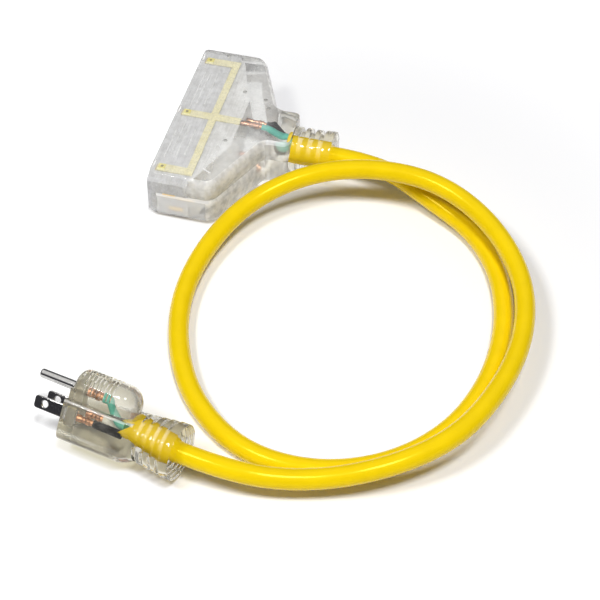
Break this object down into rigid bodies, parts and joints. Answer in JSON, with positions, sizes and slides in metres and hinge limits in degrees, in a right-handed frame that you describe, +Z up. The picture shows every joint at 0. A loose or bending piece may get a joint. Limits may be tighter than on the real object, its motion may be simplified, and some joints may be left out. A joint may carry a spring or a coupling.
{
  "type": "extension cord",
  "caption": "Short heavy extension cord: a yellow cord wound loosely on the floor between a clear moulded grounding plug and a clear block of outlets in a row.",
  "frame": {"origin": "centre of the bottom of the outlet block, on the floor", "axes": "+X from the outlets' face towards the cord's exit, +Y along the row of outlets, +Z up"},
  "size_m": [0.223, 0.2873, 0.0352],
  "materials": {
    "clear_block": "clear moulded PVC, glossy",
    "clear_plug": "clear moulded PVC, glossy, slightly warm",
    "frosted_insert": "translucent moulded plastic, fine texture",
    "brass_strip": "bare stamped strip",
    "brass_contact": "bare stamped strip",
    "copper": "bare copper",
    "nickel_blade": "bright nickel plate",
    "nickel_pin": "bright nickel plate",
    "yellow_jacket": "smooth glossy PVC jacket",
    "green_insulation": "glossy PVC",
    "black_insulation": "glossy PVC",
    "white_insulation": "glossy PVC"
  },
  "bodies": {
    "root": {"blade_bridge": "frosted_insert", "carrier_backer": "frosted_insert", "contact_carrier": "frosted_insert", "ground_bus": "brass_strip", "ground_contacts": "brass_contact", "ground_pin": "nickel_pin", "line_blade": "nickel_blade", "line_bus": "brass_strip", "line_contacts": "brass_contact", "neutral_blade": "nickel_blade", "neutral_bus": "brass_strip", "neutral_contacts": "brass_contact", "plug_ground_crimp": "copper", "plug_ground_strands": "copper", "plug_ground_wire": "green_insulation", "plug_jacket_end": "yellow_jacket", "plug_line_crimp": "copper", "plug_line_strands": "copper", "plug_line_wire": "black_insulation", "plug_neutral_crimp": "copper", "plug_neutral_strands": "copper", "plug_neutral_wire": "white_insulation", "plug_overmould": "clear_plug", "power_cord": "yellow_jacket", "tap_ground_crimp": "copper", "tap_ground_strands": "copper", "tap_ground_wire": "green_insulation", "tap_jacket_end": "yellow_jacket", "tap_line_crimp": "copper", "tap_line_strands": "copper", "tap_line_wire": "black_insulation", "tap_neutral_crimp": "copper", "tap_neutral_strands": "copper", "tap_neutral_wire": "white_insulation", "tap_overmould": "clear_block"}
  },
  "joints": []
}
